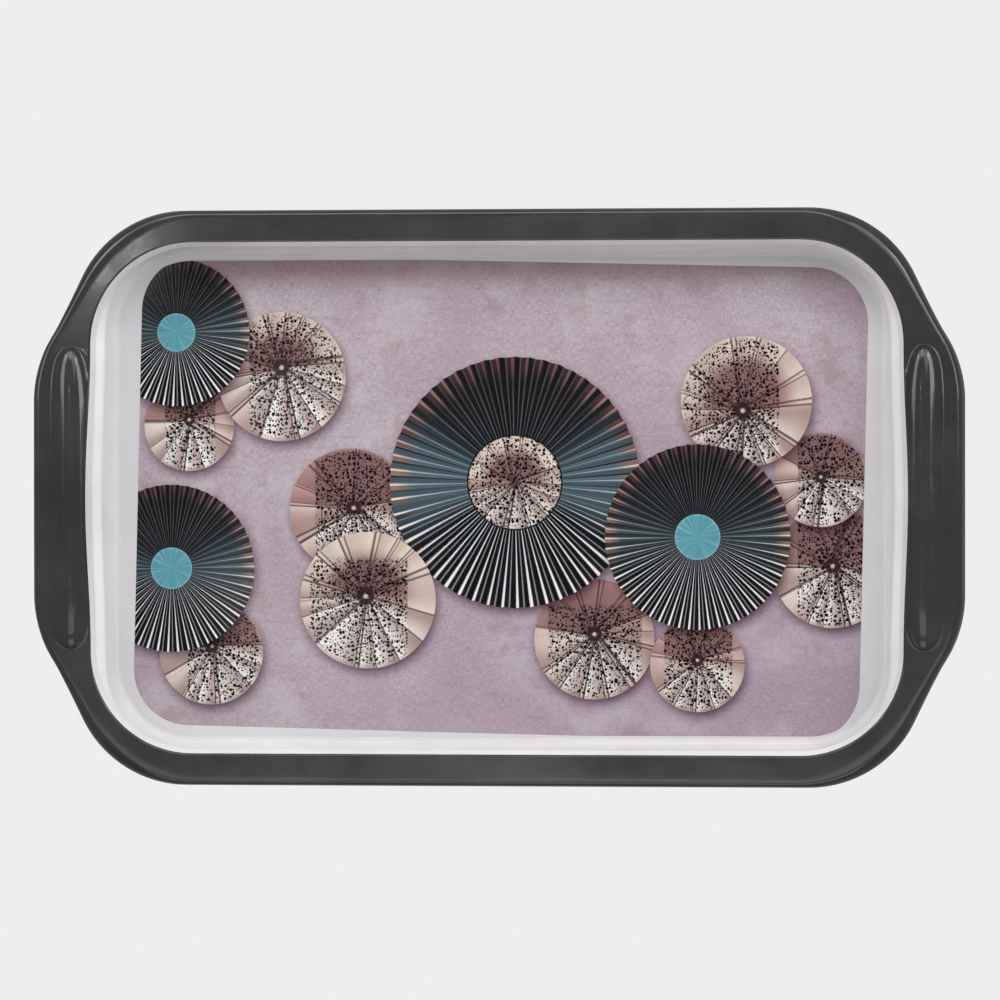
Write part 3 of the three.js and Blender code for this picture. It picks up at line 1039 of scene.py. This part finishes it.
def rose_colour(graph, place, painted):
    """Panels of cream and rose paper round a hub, with double folds between them and black speckles."""
    pleat = Pleat(graph, place, PANEL_WAVER)
    radius, rim = place.radius, place.rim
    from_fold = pleat.phase * radius * (2 * math.pi) / pleat.count
    side = (pleat.up + (pleat.luck - 0.5) * 0.3) * 0.5 + 0.5

    plain = graph.ramp(
        side, (0.0, tone(214, 203, 197)), (0.36, tone(222, 212, 204)), (0.48, tone(214, 196, 186)),
        (0.57, tone(188, 160, 154)), (0.7, tone(157, 124, 123)), (1.0, tone(136, 104, 107)),
    )
    rim_rose = (rim + (pleat.second_luck - 0.5) * 0.2).above(0.7, 1.05)
    plain = graph.mix(rim_rose * 0.45, plain, tone(196, 158, 146))
    paint = graph.ramp(
        side, (0.0, tone(236, 233, 228)), (0.4, tone(228, 221, 214)), (0.48, tone(190, 170, 161)),
        (0.56, tone(132, 103, 102)), (1.0, tone(125, 95, 97)),
    )
    colour = graph.mix(painted, plain, paint)
    cream = pleat.tint * rim.above(0.5, 0.85) * side.above(0.45, 0.55)
    colour = graph.mix(cream * 0.9, colour, tone(232, 220, 206))
    lower = place.up.above(0.25, -0.1)
    slope = pleat.phase.above(0.0, 0.9)
    colour = graph.mix(slope * (lower * 0.3 + 0.35), colour, tone(124, 84, 80))

    doubled = pleat.second_luck.above(0.28, 0.3)
    from_second = from_fold - (radius * 0.7 + 0.3) * FOLD_BAND
    band = from_second.above(FOLD_LINE, 0) * doubled
    colour = graph.mix(band * (lower * 0.3 + 0.2), colour, tone(150, 118, 110))
    fold = from_fold.above(FOLD_LINE * 2.2, FOLD_LINE * 0.6)
    second_fold = from_second.near(0, FOLD_LINE * 0.5, FOLD_LINE) * doubled
    colour = graph.mix(fold.math("MAXIMUM", second_fold) * (lower * 0.1 + 0.8), colour, tone(58, 34, 34))
    grain = graph.noise(graph.place(), 1100, 2)
    colour = graph.mix((grain - 0.5) * 0.3 + 0.06, colour, tone(120, 92, 92))
    spots = paint_speckles(graph, radius) * painted
    return graph.mix(spots, colour, tone(9, 6, 7))


def rose_material():
    """A rose fan with a speckled field between straight limits, and a hub."""
    graph = glazed("printed_rose_fan")
    place = PaperPlace(graph)
    left, right, top = graph.split(graph.attribute("speckle_field"))
    painted = (place.x - left).above(0, 0.03) * (right - place.x).above(0, 0.03)
    painted = painted * (top - place.y).above(-0.06, 0.06) * place.rim.above(0.99, 0.93)
    colour = rose_colour(graph, place, painted)
    ring = place.radius.near(RING_RADIUS, RING_HALF_WIDTH, RING_BLUR)
    colour = graph.mix(ring * 0.85, colour, tone(44, 26, 28))
    dot = place.radius.above(DOT_OUTSIDE, DOT_INSIDE)
    colour = graph.mix(dot * 0.75, colour, tone(208, 198, 192))
    return finish_print(graph, colour)


def speckled_material():
    """A disc of rose paper that is speckled all over, with a dark edge."""
    graph = glazed("printed_speckled_disc")
    place = PaperPlace(graph)
    colour = rose_colour(graph, place, 1.0)
    colour = graph.mix(place.rim.above(0.95, 0.98), colour, tone(20, 20, 24))
    return finish_print(graph, colour)


def turquoise_material():
    """A turquoise disc with soft rays from its middle, paler at its edge."""
    graph = glazed("printed_turquoise_disc")
    place = PaperPlace(graph)
    rays = graph.noise(graph.join(place.x / place.radius * 6, place.y / place.radius * 6), 1.6, 2)
    colour = graph.ramp(
        rays, (0.3, tone(73, 134, 146)), (0.55, tone(90, 149, 160)), (0.8, tone(128, 178, 187)),
    )
    colour = graph.mix(place.rim.above(0.9, 0.99) * 0.5, colour, tone(134, 180, 188))
    return finish_print(graph, colour)


# What each kind of region is printed with, in the order of the sheet's material slots
PRINT_MATERIALS = {
    "linen": linen_material,
    "steel": steel_material,
    "rose": rose_material,
    "turquoise": turquoise_material,
    "speckled": speckled_material,
}


# Fine straight scuffs of the mouldings: the direction of each set, and how many of them there are
SCUFF_SETS = ((0.3, 34.0), (1.4, 27.0), (2.5, 41.0))


def scratches(graph, place):
    """1 on a scuff, and 0 elsewhere."""
    total = None
    for angle, density in SCUFF_SETS:
        turned = graph.node(
            "ShaderNodeVectorRotate", {"Vector": place, "Angle": angle}, rotation_type="Z_AXIS",
        ).outputs[0]
        scuff = graph.noise(graph.scaled(turned, 1, 45), density, 1).above(0.7, 0.74)
        total = scuff if total is None else total.math("MAXIMUM", scuff)
    return total


def melamine(name, dull, plain, bright, roughness, waviness, scuffing, floor_shade_share=0.0):
    """Glossy moulded plastic: a faint mottle, fine scuffs and a foot ring worn matt.

    The last argument is how strongly painted shade fades its floor, and the fillet at the foot of its wall,
    to a duller grey.
    """
    graph = Graph(name, roughness)
    place = graph.place()
    _, _, height = graph.split(place)
    mottle = graph.noise(place, 26, 6, 0.62)
    colour = graph.ramp(mottle, (0.32, dull), (0.5, plain), (0.7, bright))
    specks = graph.noise(place, 1500, 1).above(0.68, 0.78)
    colour = graph.mix(specks * 0.35, colour, bright)
    scuffs = scratches(graph, place) * graph.noise(place, 18, 2).above(0.5, 0.7) * scuffing
    worn = height.above(0.4 * MM, 0.05 * MM)
    colour = graph.mix(scuffs * 0.05 + worn * 0.35, colour, tone(150, 149, 150))
    # Painted shade: the floor and the fillet at the wall's foot fade to a duller grey
    floor_shade = height.above(FLOOR_HEIGHT + FLOOR_FILLET, FLOOR_HEIGHT) * floor_shade_share
    colour = graph.mix(floor_shade, colour, tone(176, 174, 176))
    graph.set("Base Color", colour)
    patches = graph.noise(place, 60, 4)
    rough = patches.above(0.35, 0.7) * 0.05 + roughness + scuffs * 0.08 + worn * 0.3
    graph.set("Roughness", rough)
    graph.bump(graph.noise(place, 700, 3) * 0.6 + graph.noise(place, 45, 2) * waviness, 0.02 * MM, 0.5)
    return graph.material


# ---------------------------------------------------------------- the tray

stations = make_stations()
shell = loft("outer_shell_moulding", stations, shell_section)
shell.data.materials.append(melamine(
    "shell_melamine", tone(45, 45, 46), tone(51, 51, 52), tone(61, 60, 61),
    roughness=0.09, waviness=3.0, scuffing=1 / 2,
))
liner = loft("inner_liner_moulding", stations, liner_section)
liner.data.materials.append(melamine(
    "liner_melamine", tone(228, 227, 228), tone(234, 233, 234), tone(239, 238, 239),
    # The last setting paints shade on the floor at the foot of the wall
    roughness=0.2, waviness=1.0, scuffing=1 / 6, floor_shade_share=0.55,
))
sheet = make_print(stations)
for make_material in PRINT_MATERIALS.values():
    sheet.data.materials.append(make_material())

for piece, node, slot in (
    (shell, "outer_shell", "shell_melamine"),
    (liner, "inner_liner", "liner_melamine"),
    (sheet, "printed_decal", "decal_print"),
):
    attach(piece, "root")
    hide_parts(node)

# ---------------------------------------------------------------- studio

PAPER = tone(238, 238, 238)
FLOOR_REACH = 30
WORLD_STRENGTH = 0.22

# The tray's contact shadow, all of it under the rim: its half sizes, and where it starts and stops fading
CONTACT_TONE = tone(96, 96, 97)
CONTACT_X = 185 * MM
CONTACT_Y = 108 * MM
CONTACT_FADE = (0.85, 1.08)


def paper_material():
    """White paper that glows evenly, so that the background has one tone in every view."""
    graph = Graph("studio_paper", 1.0)
    x, y, _ = graph.split(graph.place())
    reach = ((x / CONTACT_X) ** 4 + (y / CONTACT_Y) ** 4) ** 0.25
    graph.set("Base Color", BLACK)
    graph.set("Emission Color", graph.mix(reach.above(*CONTACT_FADE), CONTACT_TONE, PAPER))
    graph.set("Emission Strength", 1.0)
    graph.set("Specular IOR Level", 0.0)
    return graph.material


floor_corners = [(x * FLOOR_REACH, y * FLOOR_REACH, 0) for x, y in ((-1, -1), (1, -1), (1, 1), (-1, 1))]
floor_mesh = bpy.data.meshes.new("studio_floor")
floor_mesh.from_pydata(floor_corners, [], [(0, 1, 2, 3)])
floor_mesh.materials.append(paper_material())
floor = new_object("studio_floor", floor_mesh)
floor.visible_glossy = False

world = bpy.data.worlds.new("studio")
world.use_nodes = True
background = world.node_tree.nodes["Background"]
background.inputs["Color"].default_value = PAPER
background.inputs["Strength"].default_value = WORLD_STRENGTH
bpy.context.scene.world = world


def softbox(name, location, size, radiance, colour=(1.0, 1.0, 1.0)):
    """A rectangular light that faces the tray, with the same brightness whatever its size."""
    data = bpy.data.lights.new(name, "AREA")
    data.shape = "RECTANGLE"
    data.size, data.size_y = size
    data.energy = radiance * math.pi * size[0] * size[1]
    data.color = colour
    light = new_object(name, data)
    light.location = location
    light.rotation_euler = (-Vector(location)).to_track_quat("-Z", "Y").to_euler()


# Broad lights behind and beside the tray draw the long highlights. The glint and the glows hang where the
# rim's flat top mirrors them into the camera.
softbox("back", (-0.1, 1.0, 1.0), (1.0, 0.7), 3.4)
softbox("left", (-1.2, 0.52, 0.82), (0.95, 0.5), 3.6)
softbox("right", (1.2, 0.52, 0.82), (0.95, 0.5), 4.7)
softbox("back_left", (-1.0, 1.05, 0.95), (0.8, 0.7), 2.0)
softbox("back_right", (1.0, 1.05, 0.95), (0.8, 0.7), 2.4)
softbox("high_right", (0.8, 0.85, 1.6), (0.9, 0.7), 1.8)
softbox("high_fill", (0.0, -0.55, 1.8), (1.6, 0.6), 1.2)
softbox("front_fill", (0.0, -1.4, 1.1), (1.8, 0.9), 1.4, (1.0, 0.94, 1.04))
softbox("top_left_glint", (-0.51, 0.205, 2.03), (0.05, 0.05), 22.0)
softbox("top_glow", (-0.17, 0.22, 2.03), (0.6, 0.06), 0.7)
softbox("bottom_glow", (-0.17, -0.25, 2.03), (0.6, 0.06), 1.2)

# ---------------------------------------------------------------- camera

CAMERA_PLACE = Vector((173, 14, 2028)) * MM
CAMERA_TARGET = Vector((2.6, -0.9, 28)) * MM
CAMERA_FIELD = 425.8 * MM
CAMERA_ROLL = math.radians(-0.05)
CAMERA_NEAREST = 0.05
CAMERA_FURTHEST = 100

camera_data = bpy.data.cameras.new("camera")
camera = new_object("camera", camera_data)
camera.location = CAMERA_PLACE
look = CAMERA_TARGET - CAMERA_PLACE
right = look.cross((0, 1, 0)).normalized()
up = right.cross(look).normalized()
aim = Matrix((right, up, -look.normalized())).transposed()
camera.rotation_euler = (aim @ Matrix.Rotation(CAMERA_ROLL, 3, "Z")).to_euler()
camera_data.angle = 2 * math.atan(CAMERA_FIELD / 2 / look.length)
camera_data.clip_start = CAMERA_NEAREST
camera_data.clip_end = CAMERA_FURTHEST
bpy.context.scene.camera = camera
bpy.context.scene.view_settings.view_transform = "Standard"
